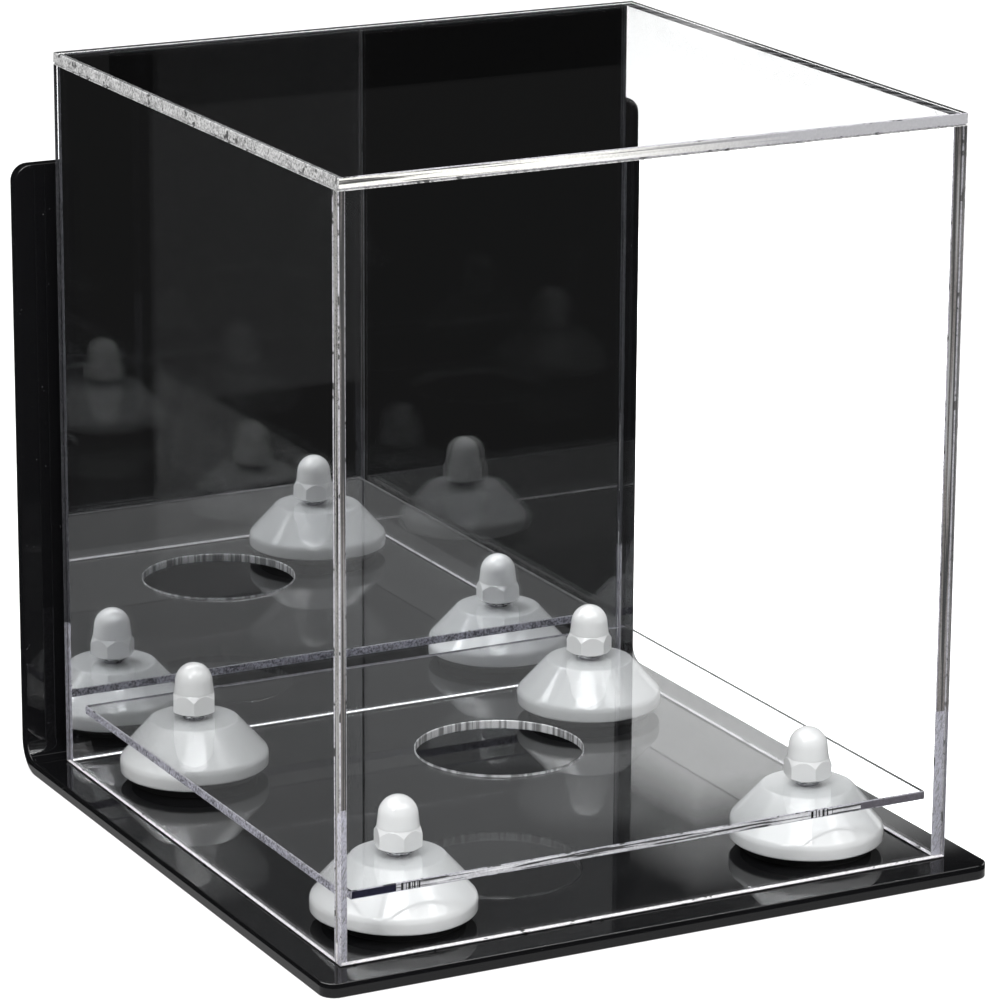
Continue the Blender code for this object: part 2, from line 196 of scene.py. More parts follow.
def makeCamera():
    yaw, pitch, roll = (math.radians(cameraSet[k]) for k in ("yaw", "pitch", "roll"))
    level = Vector((math.sin(yaw), math.cos(yaw), 0))
    forward = level * math.cos(pitch) - Vector((0, 0, math.sin(pitch)))
    across = Vector((level.y, -level.x, 0))
    upright = across.cross(forward)
    right = across * math.cos(roll) + upright * math.sin(roll)
    up = upright * math.cos(roll) - across * math.sin(roll)
    data = bpy.data.cameras.new("camera")
    data.lens = cameraSet["lens"]
    data.sensor_width = cameraSet["sensor"]
    data.clip_end = cameraSet["reach"]
    camera = bpy.data.objects.new("camera", data)
    bpy.context.scene.collection.objects.link(camera)
    turn = Matrix((right, up, -forward)).transposed().to_4x4()
    camera.matrix_world = Matrix.Translation(cameraSet["place"]) @ turn
    bpy.context.scene.camera = camera


makeCamera()
bpy.context.scene.view_settings.view_transform = "Standard"

# Stage: a white floor and backdrop, with the rest of the studio dark in reflections
stageSet = {
    "floorHalf": 8.0,
    "floorDrop": 0.0003,
    "floorShade": 0.7,
    "floorGlow": 0.7,
    "floorBehindGlass": 1.7,
    "roomLight": 0.52,
    "whiteLevel": 2.0,
    "darkLevel": 0.009,
    "frontLevel": 0.24,
    "skyLevel": 0.7,
    "frontRise": (0.2, 0.5),  # rises are the Z of a unit direction
    "skyRise": (0.42, 0.64),
    "overheadLevel": 4.0,
    "overheadFrom": 0.655,
    "overheadBars": (-0.12, -0.2, 0.02),
    "overheadRightFrom": (0.1, -0.28),
    "edgeLevel": 0.5,  # of the floor mirrored close by in the base's rounded edges
    "edgeReach": 0.0125,
    "behindLevel": 0.22,
}

# The backdrop's lit lower part, which the base and platform reflect
cardSet = {
    "level": 1.25,
    "y": 1.25,
    "left": 0.35,
    "right": 3.5,
    "top": (0.559, 0.612),
    "slope": 0.65,  # its upper edge climbs to the right
    "start": 0.0725,
    "fade": 0.04,
}

# Lamps: place, the point each is turned to, size, watts and whether it shows in reflections
lampSet = {
    "soft_above": ((-0.3, -0.45, 1.4), (0, 0, 0.05), (0.7, 0.7), 17, False),
    "soft_left": ((-1.3, -0.8, 1.3), (0, 0, 0.1), (0.4, 0.6), 9, True),
    "soft_right": ((0.9, -1.0, 1.9), (0, 0, 0.1), (0.5, 0.5), 4, True),
}


def reflected(tree):  # 1 where a ray comes by way of a gloss or a mirror
    bounced = tree.ray("Is Glossy Ray") + tree.ray("Is Transmission Ray") > 0.5
    return bounced * (tree.ray("Glossy Depth") > 0.5)


def studioLevel(tree):  # what the glosses and the mirror see
    direction = tree.node("ShaderNodeTexCoord", output="Generated")
    x, y, rise = (tree.axis(direction, name) for name in "XYZ")
    dark, front, top = (stageSet[k] for k in ("darkLevel", "frontLevel", "skyLevel"))
    dusk, day = stageSet["skyRise"]
    frontLow, frontHigh = stageSet["frontRise"]
    behind = tree.ramp(rise, (dusk, dark), (day, top))
    before = tree.ramp(rise, (0.0, dark), (frontLow, front), (frontHigh, front), (day, top))
    barX, barY, wide = stageSet["overheadBars"]
    bars = ((x - barX).maths("ABSOLUTE") > wide) * ((y - barY).maths("ABSOLUTE") > wide)
    rightX, rightY = stageSet["overheadRightFrom"]
    part = (x < rightX).maths("MAXIMUM", y < rightY)
    overhead = (rise > stageSet["overheadFrom"]) * bars * part * stageSet["overheadLevel"]
    return tree.mix(y < 0, behind, before) + overhead


def makeWorld():
    world = bpy.data.worlds.new("studio")
    world.use_nodes = True
    world.node_tree.nodes.clear()
    bpy.context.scene.world = world
    tree = Tree(world.node_tree, world)
    seen = tree.ray("Is Camera Ray") + tree.ray("Is Transmission Ray") + tree.ray("Is Glossy Ray")
    room = stageSet["roomLight"]
    white = seen * (stageSet["whiteLevel"] - room) + room
    bounced = reflected(tree)
    level = white * (1 - bounced) + studioLevel(tree) * bounced
    sockets = {"Color": level, "Strength": 1.0}
    tree.surface(tree.node("ShaderNodeBackground", {}, sockets), "ShaderNodeOutputWorld")


def stagePlane(name, corners):
    mesh = bpy.data.meshes.new(name)
    mesh.from_pydata(corners, [], [(0, 1, 2, 3)])
    plane = bpy.data.objects.new(name, mesh)
    bpy.context.scene.collection.objects.link(plane)
    return plane


def makeFloor():
    half, z = stageSet["floorHalf"], -stageSet["floorDrop"]
    corners = [(-half, -half, z), (half, -half, z), (half, half, z), (-half, half, z)]
    floor = stagePlane("floor", corners)
    tree = newMaterial("white_floor")
    matt = tree.node("ShaderNodeBsdfDiffuse", {}, {"Color": gray(stageSet["floorShade"])})
    white = tree.glow(tree.ray("Is Transmission Ray") * stageSet["floorBehindGlass"] + stageSet["floorGlow"])
    lit = tree.node("ShaderNodeAddShader", {}, {0: matt, 1: white})
    place = tree.spot()
    low, high = cadBox
    behind = (tree.axis(place, "Y") > high.y) * (tree.axis(place, "X") > low.x)
    close = tree.ray("Ray Length") < stageSet["edgeReach"]
    level = behind * stageSet["behindLevel"] + close * stageSet["edgeLevel"] + stageSet["darkLevel"]
    shown = tree.blend(reflected(tree), lit, tree.glow(level))
    below = tree.node("ShaderNodeNewGeometry", output="Backfacing")  # open to a view from below
    clear = tree.node("ShaderNodeBsdfTransparent")
    floor.data.materials.append(tree.surface(tree.blend(below, shown, clear)))


def makeCard():
    y, left, right = (cardSet[k] for k in ("y", "left", "right"))
    least, top = cardSet["top"]
    card = stagePlane("backdrop_card", [(left, y, 0), (right, y, 0), (right, y, top), (left, y, top)])
    card.visible_camera = card.visible_diffuse = card.visible_shadow = False
    tree = newMaterial("white_card")
    place = tree.spot()
    edge = tree.axis(place, "X") * cardSet["slope"] + cardSet["start"]
    edge = edge.maths("MAXIMUM", least).maths("MINIMUM", top)
    fade = tree.ramp((edge - tree.axis(place, "Z")) * (1 / cardSet["fade"]), (0, 0.0), (1, 1.0))
    clear = tree.node("ShaderNodeBsdfTransparent")
    white = tree.glow(fade, cardSet["level"])
    card.data.materials.append(tree.surface(tree.blend(reflected(tree), clear, white)))


def softBox(name, place, target, size, watts, mirrored):
    data = bpy.data.lights.new(name, "AREA")
    data.shape = "RECTANGLE"
    data.size, data.size_y = size
    data.energy = watts
    light = bpy.data.objects.new(name, data)
    light.location = place
    light.rotation_euler = (Vector(target) - Vector(place)).to_track_quat("-Z", "Y").to_euler()
    light.visible_camera = False
    light.visible_glossy = mirrored
    bpy.context.scene.collection.objects.link(light)


makeWorld()
makeFloor()
makeCard()
for lampName, lampValues in lampSet.items():
    softBox(lampName, *lampValues)
print("camera and stage ready")

# Sizes that several pieces share
sharedSet = {
    "boltHole": 0.0045,  # radius
    "drillSteps": 96,
    "overrun": 0.002,  # of a drill past a face
}


# Mesh helpers
def finished(name, shape, materials, smooth=None):
    mesh = bpy.data.meshes.new(name)
    shape.to_mesh(mesh)
    shape.free()
    for material in materials:
        mesh.materials.append(material)
    if smooth is not None:
        mesh.shade_smooth()
        mesh.set_sharp_from_angle(angle=math.radians(smooth))
    return mesh


def arc(middle, radius, start, end, steps):
    points = []
    for i in range(steps + 1):
        angle = math.radians(start + (end - start) * i / steps)
        points.append((middle[0] + radius * math.cos(angle), middle[1] + radius * math.sin(angle)))
    return points


def boxShape(low, high):
    shape = bmesh.new()
    bmesh.ops.create_cube(shape, size=1)
    size, middle = high - low, (high + low) / 2
    for vert in shape.verts:
        vert.co = Vector([middle[i] + vert.co[i] * size[i] for i in range(3)])
    shape.normal_update()
    return shape


def turnedShape(profile, steps):  # (radius, height) points turned about Z
    shape = bmesh.new()
    rings = []
    for i in range(steps):
        angle = math.tau * i / steps
        across, along = math.cos(angle), math.sin(angle)
        rings.append([shape.verts.new((r * across, r * along, z)) for r, z in profile])
    for i, ring in enumerate(rings):
        after = rings[(i + 1) % steps]
        for j in range(len(profile)):
            k = (j + 1) % len(profile)
            if profile[j][0] > 0 or profile[k][0] > 0:
                shape.faces.new((ring[j], after[j], after[k], ring[k]))
    bmesh.ops.remove_doubles(shape, verts=shape.verts, dist=1e-6)
    bmesh.ops.recalc_face_normals(shape, faces=shape.faces)
    return shape


def helper(name, mesh):
    obj = bpy.data.objects.new(name, mesh)
    bpy.context.scene.collection.objects.link(obj)
    return obj


def baked(obj):  # the object's shape with its modifiers applied
    bpy.context.view_layer.update()
    graph = bpy.context.evaluated_depsgraph_get()
    mesh = bpy.data.meshes.new_from_object(obj.evaluated_get(graph))
    mesh.name = obj.name
    bpy.data.objects.remove(obj, do_unlink=True)
    return mesh


def drilled(name, mesh, cutters):  # mesh less each (profile, place, turn)
    obj = helper(name, mesh)
    tools = []
    for profile, place, turn in cutters:
        shape = turnedShape(profile, sharedSet["drillSteps"])
        tool = helper(name + "_drill", finished(name + "_drill", shape, ()))
        tool.matrix_world = Matrix.Translation(place) @ turn
        tools.append(tool)
        cut = obj.modifiers.new("drill", "BOOLEAN")
        cut.operation = "DIFFERENCE"
        cut.solver = "EXACT"
        cut.object = tool
    mesh = baked(obj)
    for tool in tools:
        bpy.data.objects.remove(tool, do_unlink=True)
    return mesh


def addPiece(name, mesh, body, slot, *nodes):
    piece = helper(name, mesh)
    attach(piece, body)
    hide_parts(*nodes)
    return piece


# Clear sheet
sheetSet = {
    "tint": (0.985, 0.99, 0.992, 1),
    "lampTint": (0.96, 0.965, 0.97, 1),
    "index": 1.49,
    "arrisWide": 0.00045,
    "edgeBlur": 0.04,
    "grain": 800,
    "patches": 160,
    "flecks": 700,
    "streakDark": 0.07,
    "fleckDark": 0.06,
}

# Finishes of its edges. frost is how matt, low the grain's darkest, dark how far streaks spread and
# inside the share of colour kept on a face seen from within, the rest painted shade. lines is how fine
# streaks are, and light the grey of their lighter ones, painted highlights.
edgeLooks = {
    "sawn": {"frost": 0.95, "shade": (0.5, 0.49, 0.56), "low": 0.2, "dark": 0.33, "inside": 0.5},
    "rough": {"frost": 1.0, "shade": (0.52, 0.52, 0.52), "low": 0.35, "dark": 0.38, "inside": 0.3},
    "hatched": {"frost": 1.0, "shade": (0.3, 0.3, 0.31), "low": 0.5, "dark": 0.3, "inside": 0.8},
    # painted shade: edges that sit in shade, at the panels' backs and round the mirror, are painted near
    # black
    "dim": {"frost": 1.0, "shade": (0.09, 0.09, 0.1), "low": 0.3, "dark": 0.3, "inside": 0.5},
    # painted light: the bottom edges are painted near white for the light carried down inside the sheet
    "bright": {"frost": 0.9, "shade": (0.95, 0.93, 0.95), "low": 0.7, "dark": 0.37, "inside": 1.0},
    "arris": {"frost": 0.9, "shade": (0.5, 0.49, 0.53), "low": 0.6, "dark": 0.4, "inside": 0.6},
    # painted reflection: the side panels' front ends are painted dark brown for the dark surroundings they
    # reflect
    "streaked": {"frost": 0.85, "shade": (0.25, 0.23, 0.22), "low": 0.7, "dark": 0.5, "inside": 0.15},
    "outer": {"frost": 0.4, "shade": (0.6, 0.59, 0.57), "low": 0.8, "dark": 0.46, "inside": 0.3},
    "polished": {"frost": 0.95, "shade": (0.86, 0.85, 0.8), "low": 0.8, "dark": 0.4, "inside": 0.3},
    "patchy": {"frost": 0.85, "shade": (0.72, 0.71, 0.74), "low": 0.7, "dark": 0.44, "inside": 0.3},
}
edgeStreaks = {
    "streaked": {"lines": 900, "light": 0.4, "stretch": (1, 1, 0.012)},
    "outer": {"lines": 1100, "light": 0.8, "stretch": (1, 1, 0.012)},
    "polished": {"lines": 1300, "light": 0.97, "stretch": (0.01, 1, 1)},
    "patchy": {"lines": 1300, "light": 0.9, "stretch": (0.03, 1, 1)},
}


def clearShader(tree, roughness=0.0, normal=None):
    sockets = {
        "Base Color": sheetSet["tint"],
        "Roughness": roughness,
        "IOR": sheetSet["index"],
        "Transmission Weight": 1.0,
        "Normal": normal,
    }
    lamps = tree.ray("Is Shadow Ray")
    passing = lamps.maths("MAXIMUM", tree.ray("Is Diffuse Ray"))
    window = tree.node("ShaderNodeBsdfTransparent", {}, {"Color": sheetSet["lampTint"]})
    return tree.blend(passing, tree.plastic(sockets), window)


def clearFace():
    tree = newMaterial("clear_sheet")
    return tree.surface(clearShader(tree))


def streaksAndPaintedHighlights(tree, place, look, color):  # lines along the edge, dark and light: tool lines with painted reflections and painted highlights
    use = edgeStreaks[look]
    dark = edgeLooks[look]["dark"]
    lines = tree.noise(tree.stretched(place, use["stretch"]), use["lines"], 1, 0.5)
    color = tree.mix(tree.ramp(lines, (dark - 0.06, 1.0), (dark, 0.0)), color, gray(sheetSet["streakDark"]))
    return tree.mix(tree.ramp(lines, (0.58, 0.0), (0.66, 1.0)), color, gray(use["light"]))


def fleckedColor(tree, place, look, color):
    dark = edgeLooks[look]["dark"]
    flecks = tree.noise(tree.stretched(place, (0.25, 0.25, 0.25)), sheetSet["flecks"], 2, 0.6)
    return tree.mix(tree.ramp(flecks, (dark - 0.05, 1.0), (dark, 0.0)), color, gray(sheetSet["fleckDark"]))


# Painted shade: the cover's front top edge is painted greyer and darker towards the right
topEdgeShadeSet = {
    "fadeSlope": 3.3,
    "fade": (0.3, 0.7),
    "shade": (0.4, 0.4, 0.43),
    "low": 0.3,
}


def topEdgePaintedShade(tree, place, grain, color):
    use = topEdgeShadeSet
    start, end = use["fade"]
    right = tree.ramp(tree.axis(place, "X") * use["fadeSlope"] + 0.5, (start, 0.0), (end, 1.0))
    return tree.mix(right, color, tree.mix(grain, gray(use["low"]), solid(use["shade"])))


# Painted reflections on the platform's front edge: dark beside its left corner and at its right,
# and dashed where the risers show in it
platformEdgeReflectionSet = {
    "darkStretch": (-0.1385, -0.118),
    "stretchShade": (0.012, 0.012, 0.03),
    "dashes": ((-0.118, -0.106), (0.081, 0.092)),
    "dashScale": 900,
    "dashShade": 0.02,
    "darkRight": 0.106,
    "rightShade": (0.13, 0.12, 0.14),
    "rightLow": 0.01,
}


def platformEdgeReflections(tree, place, level, color):
    use = platformEdgeReflectionSet
    x = tree.axis(place, "X")
    first, last = use["darkStretch"]
    color = tree.mix((x > first) * (x < last), color, solid(use["stretchShade"]))
    ticks = tree.noise(tree.stretched(place, (1, 0, 0)), use["dashScale"], 1, 0.5) > 0.5
    for first, last in use["dashes"]:
        color = tree.mix((x > first) * (x < last) * ticks, color, gray(use["dashShade"]))
    right = tree.mix(level, gray(use["rightLow"]), solid(use["rightShade"]))
    return tree.mix(x > use["darkRight"], color, right)


# The right panel's upper edge has dark strokes aslant
hatchSet = {
    "gap": 0.013,
    "slant": 1.4,
    "waver": 0.004,
    "shade": 0.012,
}


def hatchedColor(tree, place, patches, color):
    x, y, z = (tree.axis(place, name) for name in "XYZ")
    slant = y + (x + z) * hatchSet["slant"] + patches * hatchSet["waver"]
    wave = (slant * (math.tau / hatchSet["gap"])).maths("SINE")
    strokes = tree.ramp(wave * 0.5 + 0.5, (0.3, 0.0), (0.5, 1.0))
    return tree.mix(strokes, color, gray(hatchSet["shade"]))


# The cover's upright edges are left rough near the foot
footSet = {
    "top": 0.073,
    "outerTo": -0.1438,  # the front panel's ends are rough only as far back as this Y
    "low": 0.06,
    "strokes": 1500,
    "strokeTurn": 0.35,
    "strokeLength": 5,
    "strokeShade": 0.27,
}


def roughFoot(tree, place, look, level, color, frost):
    use = footSet
    foot = tree.axis(place, "Z") < use["top"]
    if look == "outer":
        foot = foot * (tree.axis(place, "Y") < use["outerTo"])
    below = edgeLooks["sawn"]
    strokes = tree.noise(tree.leaning(place, use["strokeTurn"], use["strokeLength"]), use["strokes"], 1, 0.5)
    rough = tree.mix(level, gray(use["low"]), solid(below["shade"]))
    rough = tree.mix(tree.ramp(strokes, (0.4, 1.0), (0.46, 0.0)), rough, gray(use["strokeShade"]))
    return tree.mix(foot, color, rough), foot * (below["frost"] - frost) + frost


def clearEdge(look):
    use = edgeLooks[look]
    tree = newMaterial(f"{look}_edge")
    place = tree.place()
    grain = tree.noise(place, sheetSet["grain"], 3, 0.7)
    patches = tree.noise(place, sheetSet["patches"], 2, 0.5)
    level = tree.ramp(grain * 0.8 + patches * 0.2, (0.4, use["low"]), (0.58, 1.0))
    color = tree.mix(level, gray(0), solid(use["shade"]))
    pattern = streaksAndPaintedHighlights if look in edgeStreaks else fleckedColor
    color = pattern(tree, place, look, color)
    frost = use["frost"]
    if look == "polished":
        color = topEdgePaintedShade(tree, place, grain, color)
    if look == "patchy":
        color = platformEdgeReflections(tree, place, level, color)
    if look == "hatched":
        color = hatchedColor(tree, place, patches, color)
    if look in ("streaked", "dim", "outer"):
        color, frost = roughFoot(tree, place, look, level, color, frost)
    # painted shade: an edge face seen from within the sheet keeps only inside's share of its colour
    inside = tree.node("ShaderNodeNewGeometry", output="Backfacing") * (1 - use["inside"])
    color = tree.mix(inside, color, gray(0))
    frosted = tree.plastic({"Base Color": color, "Roughness": 0.6, "Specular IOR Level": 0.1})
    smooth = clearShader(tree, sheetSet["edgeBlur"], tree.bump(grain, 0.2, 0.0002))
    return tree.surface(tree.blend(frost, smooth, frosted))


clearMaterials = {"clear": clearFace(), **{look: clearEdge(look) for look in edgeLooks}}


def sheetMesh(name, low, high, arris, sides, extra=()):
    shape = boxShape(low, high)
    looks = list(dict.fromkeys(["clear", "arris", *sides.values()]))
    for face in shape.faces:
        axis = max(range(3), key=lambda i: abs(face.normal[i]))
        side = ("-" if face.normal[axis] < 0 else "+") + "xyz"[axis]
        face.material_index = looks.index(sides.get(side, "clear"))
    rounding = {"offset": arris, "segments": 2, "profile": 0.5, "material": looks.index("arris")}
    bmesh.ops.bevel(shape, geom=shape.edges[:], affect="EDGES", **rounding)
    for face in shape.faces:  # the rounding beside these sides looks like them
        middle = face.calc_center_median()
        for side, look in sides.items():
            axis = "xyz".index(side[1])
            gap = middle[axis] - low[axis] if side[0] == "-" else high[axis] - middle[axis]
            plain = face.material_index == looks.index("arris")
            if plain and look in ("rough", "dim", "hatched", "bright") and gap < arris:
                face.material_index = looks.index(look)
    return finished(name, shape, [clearMaterials[look] for look in looks] + list(extra))


# Cover: four clear panels
panelSides = {
    "front": {"-x": "outer", "+x": "outer", "+z": "rough", "-z": "bright"},
    "left": {"-y": "streaked", "+y": "dim", "+z": "rough", "-z": "bright"},
    "right": {"-y": "streaked", "+y": "dim", "+z": "hatched", "-z": "bright"},
    "top": {"-x": "rough", "+x": "rough", "-y": "polished", "+y": "rough"},
}


def makeCover():
    for side, looks in panelSides.items():
        node = f"cover_{side}_panel"
        low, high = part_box(node)
        mesh = sheetMesh(f"{side}_sheet", low, high, sheetSet["arrisWide"], looks)
        addPiece(f"{side}_sheet", mesh, "cover", "clear_acrylic", node)


makeCover()
print("cover ready")

# Platform: a clear sheet with a seat hole and four bolt holes
platformSet = {
    "sides": {"-x": "sawn", "+x": "rough", "-y": "patchy", "+y": "sawn"},
    "seatRadius": 0.0375,
    "chamfer": 0.00035,
    "rim": 0.003,  # the holes' walls are further in than this
    "wallLines": 420,
    "wallDark": 0.12,
    "wallLight": (0.97, 0.97, 0.98),
    "wallMatt": 0.6,
}


def standPlaces():  # in the order of a grid's points
    places = []
    for corner in ("front_left", "back_left", "front_right", "back_right"):
        low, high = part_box(f"riser_{corner}")
        places.append((low + high) / 2)
    return places


def boredEdge():
    use = platformSet
    tree = newMaterial("bored_edge")
    lines = tree.noise(tree.stretched(tree.place(), (1, 1, 0.02)), use["wallLines"], 2, 0.6)
    normal = tree.bump(lines, 0.6, 0.0003)
    level = tree.ramp(lines, (0.42, 0.2), (0.56, 1.0))
    shade = tree.mix(level, gray(use["wallDark"]), solid(use["wallLight"]))
    matt = tree.plastic({"Base Color": shade, "Roughness": 0.5})
    return tree.surface(tree.blend(use["wallMatt"], clearShader(tree, 0.03, normal), matt))


def drillProfile(radius, low, high, chamfer):
    wide, over = radius + chamfer, sharedSet["overrun"]
    return [
        (0, low - over),
        (wide + over, low - over),
        (wide, low),
        (radius, low + chamfer),
        (radius, high - chamfer),
        (wide, high),
        (wide + over, high + over),
        (0, high + over),
    ]


def makePlatform():
    low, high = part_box("platform_plate")
    mesh = sheetMesh("platform", low, high, sheetSet["arrisWide"], platformSet["sides"], [boredEdge()])
    middle = (low + high) / 2
    upright = Matrix.Identity(4)
    chamfer, rim = platformSet["chamfer"], platformSet["rim"]
    seat = drillProfile(platformSet["seatRadius"], low.z, high.z, chamfer)
    bolt = drillProfile(sharedSet["boltHole"], low.z, high.z, chamfer)
    cutters = [(seat, (middle.x, middle.y, 0), upright)]
    cutters += [(bolt, (place.x, place.y, 0), upright) for place in standPlaces()]
    mesh = drilled("platform", mesh, cutters)
    names = [material.name for material in mesh.materials]
    bored, plain = names.index("bored_edge"), names.index("arris_edge")
    reach = platformSet["seatRadius"] + 2 * chamfer
    inside = (high - low) / 2 - Vector((rim, rim, 0))
    for face in mesh.polygons:
        away = face.center - middle
        inner = abs(away.x) < inside.x and abs(away.y) < inside.y
        if inner and abs(face.normal.z) < 0.9:
            face.material_index = bored if math.hypot(away.x, away.y) < reach else plain
    addPiece("platform", mesh, "stand", "clear_acrylic", "platform_plate")


makePlatform()
print("platform ready")

# Mirror: clear sheet with silver and a paint coat behind it
mirrorSet = {
    "sides": {"-x": "dim", "+x": "dim", "+z": "dim", "-z": "bright"},
    "coat": 0.00012,
    "coatGapShare": 0.2,
    "silver": (0.92, 0.925, 0.935),
    "silverDark": 0.97,
    "silverStreaks": 14,
    "paint": (0.09, 0.09, 0.1),
    "paintDark": 0.7,
    "paintGrain": 300,
}


def silverBack():
    silver, dark = mirrorSet["silver"], mirrorSet["silverDark"]
    tree = newMaterial("silver_coat")
    streaks = tree.noise(tree.stretched(tree.place(), (1, 1, 0.3)), mirrorSet["silverStreaks"], 3, 0.6)
    color = tree.mix(streaks, solid(silver, dark), solid(silver))
    return tree.surface(tree.plastic({"Base Color": color, "Metallic": 1.0, "Roughness": 0.0}))


def paintBack():
    paint, dark = mirrorSet["paint"], mirrorSet["paintDark"]
    tree = newMaterial("mirror_paint")
    grain = tree.noise(tree.place(), mirrorSet["paintGrain"], 3, 0.6)
    sockets = {
        "Base Color": tree.mix(grain, solid(paint, dark), solid(paint)),
        "Roughness": 0.55,
        "Normal": tree.bump(grain, 0.15, 0.0001),
    }
    return tree.surface(tree.plastic(sockets))


def makeMirror():
    low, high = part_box("mirror_back_panel")
    coat, arris = mirrorSet["coat"], sheetSet["arrisWide"] / 2
    silverY = high.y - coat
    top = Vector((high.x, silverY, high.z))
    mesh = sheetMesh("mirror", low, top, arris, mirrorSet["sides"], [silverBack()])
    for face in mesh.polygons:
        if face.normal.y > 0.9:
            face.material_index = len(mesh.materials) - 1
    addPiece("mirror", mesh, "cover", "mirror_acrylic", "mirror_back_panel")
    paintLow = Vector((low.x + arris, silverY + coat * mirrorSet["coatGapShare"], low.z + arris))
    paintHigh = Vector((high.x - arris, high.y, high.z - arris))
    paint = finished("mirror_paint", boxShape(paintLow, paintHigh), (paintBack(),))
    addPiece("mirror_paint", paint, "cover", "mirror_acrylic", "mirror_back_panel")


makeMirror()
print("mirror ready")

# Base and wall plate: one black sheet, bent at the back
bracketSet = {
    "sheet": 0.0064,
    "bendInside": 0.0078,
    "bendSteps": 24,
    "baseCorner": 0.007,
    "plateCorner": 0.0078,
    "cornerSteps": 12,
    "edgeRound": 0.0005,
    "edgeSteps": 3,
    "edgeAngle": 40,
    "sharpAngle": 35,
    "screwX": 0.110,
    "screwLowZ": 0.070,
    "screwHighZ": 0.230,
    "screwRadius": 0.0028,
    "screwHead": 0.0056,
    "boltHead": 0.0083,
    "boltHeadHeight": 0.0041,
    "shade": (0.0045, 0.0045, 0.005),
    "dust": (0.35, 0.35, 0.36),
    "smudges": 22,
    "specks": 900,
    "speckGroups": 90,
}


def blackSheet():
    tree = newMaterial("black_sheet")
    place = tree.place()
    smudge = tree.noise(place, bracketSet["smudges"], 3, 0.65)
    speck = tree.noise(place, bracketSet["specks"], 1, 0.4)
    group = tree.noise(place, bracketSet["speckGroups"], 1, 0.5)
    dust = tree.ramp(speck * 0.6 + group * 0.4, (0.7, 0.0), (0.76, 0.25))
    sockets = {
        "Base Color": tree.mix(dust, solid(bracketSet["shade"]), solid(bracketSet["dust"])),
        "Roughness": tree.ramp(smudge, (0.35, 0.012), (0.75, 0.05)),
        "IOR": 1.49,
    }
    return tree.surface(tree.plastic(sockets))


def bracketShape(low, high):
    use = bracketSet
    outer = use["bendInside"] + use["sheet"]
    bend = (high.y - outer, outer)
    outline = [(low.y, 0)]
    outline += arc(bend, outer, -90, 0, use["bendSteps"])
    outline += [(high.y, high.z), (high.y - use["sheet"], high.z)]
    outline += arc(bend, use["bendInside"], 0, -90, use["bendSteps"])
    outline.append((low.y, use["sheet"]))
    shape = bmesh.new()
    ends = []
    for x in (low.x, high.x):
        ends.append([shape.verts.new((x, y, z)) for y, z in outline])
    shape.faces.new(ends[0])
    shape.faces.new(reversed(ends[1]))
    for i in range(len(outline)):
        j = (i + 1) % len(outline)
        shape.faces.new((ends[0][i], ends[1][i], ends[1][j], ends[0][j]))
    bmesh.ops.recalc_face_normals(shape, faces=shape.faces)
    corners = ((1, low.y, use["baseCorner"]), (2, high.z, use["plateCorner"]))
    for axis, place, radius in corners:
        found = []
        for edge in shape.edges:
            a, b = (vert.co for vert in edge.verts)
            level = abs(a[axis] - place) < 1e-6 and abs(b[axis] - place) < 1e-6
            if level and abs(a.x - b.x) < 1e-6:
                found.append(edge)
        rounding = {"offset": radius, "segments": use["cornerSteps"], "profile": 0.5}
        bmesh.ops.bevel(shape, geom=found, affect="EDGES", **rounding)
    return shape


def screwProfile():  # countersunk, down from the plate's front
    use = bracketSet
    over, head, radius = sharedSet["overrun"], use["screwHead"], use["screwRadius"]
    return [
        (0, over),
        (head + over, over),
        (radius, radius - head),
        (radius, -use["sheet"] - over),
        (0, -use["sheet"] - over),
    ]


def boltProfile():  # countersunk, up from the base's underside
    use = bracketSet
    over, head, radius = sharedSet["overrun"], use["boltHead"], sharedSet["boltHole"]
    steep = (head - radius) / use["boltHeadHeight"]
    return [
        (0, -over),
        (head + over * steep, -over),
        (radius, use["boltHeadHeight"]),
        (radius, use["sheet"] + over),
        (0, use["sheet"] + over),
    ]


def makeBracket():
    low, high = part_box("base_wall_bracket")
    use = bracketSet
    sheet = helper("bracket_sheet", finished("bracket_sheet", bracketShape(low, high), (blackSheet(),)))
    rounding = sheet.modifiers.new("rounded_edges", "BEVEL")
    rounding.limit_method = "ANGLE"
    rounding.angle_limit = math.radians(use["edgeAngle"])
    rounding.width = use["edgeRound"]
    rounding.segments = use["edgeSteps"]
    rounding.harden_normals = True
    mesh = baked(sheet)
    forward = Matrix.Rotation(math.pi / 2, 4, "X")
    cutters = []
    for x in (-use["screwX"], use["screwX"]):
        for z in (use["screwLowZ"], use["screwHighZ"]):
            cutters.append((screwProfile(), (x, high.y - use["sheet"], z), forward))
    for place in standPlaces():
        cutters.append((boltProfile(), (place.x, place.y, 0), Matrix.Identity(4)))
    mesh = drilled("bracket", mesh, cutters)
    mesh.shade_smooth()
    mesh.set_sharp_from_angle(angle=math.radians(use["sharpAngle"]))
    sheet = helper("bracket", mesh)
    level = sheet.modifiers.new("flat_faces", "WEIGHTED_NORMAL")
    level.keep_sharp = True
    addPiece("bracket", baked(sheet), "stand", "black_acrylic", "base_wall_bracket")


makeBracket()
print("bracket ready")

